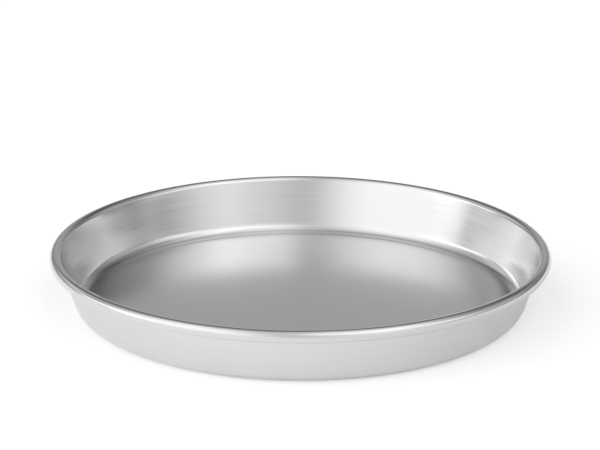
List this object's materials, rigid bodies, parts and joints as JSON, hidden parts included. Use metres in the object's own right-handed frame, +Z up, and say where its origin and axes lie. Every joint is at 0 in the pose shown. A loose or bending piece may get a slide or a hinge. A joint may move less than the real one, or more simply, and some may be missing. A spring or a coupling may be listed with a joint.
{
  "type": "round cake tin",
  "caption": "Shallow round cake tin of satin aluminium: flat floor, smooth foot radius, tapered wall and a full round wired rim.",
  "frame": {"origin": "on the tin's axis, on the surface that the tin stands on", "axes": "+Z up along the tin's axis, out of its open mouth; the tin is round, so +X is free, and the picture looks along +Y from -Y"},
  "size_m": [0.2622, 0.2621, 0.031],
  "materials": {
    "satin_aluminium": "satin, with fine turned lines round the axis",
    "galvanised_wire": "drawn and galvanised"
  },
  "bodies": {
    "root": {"tin_shell": "satin_aluminium", "rim_wire": "galvanised_wire"}
  },
  "joints": []
}
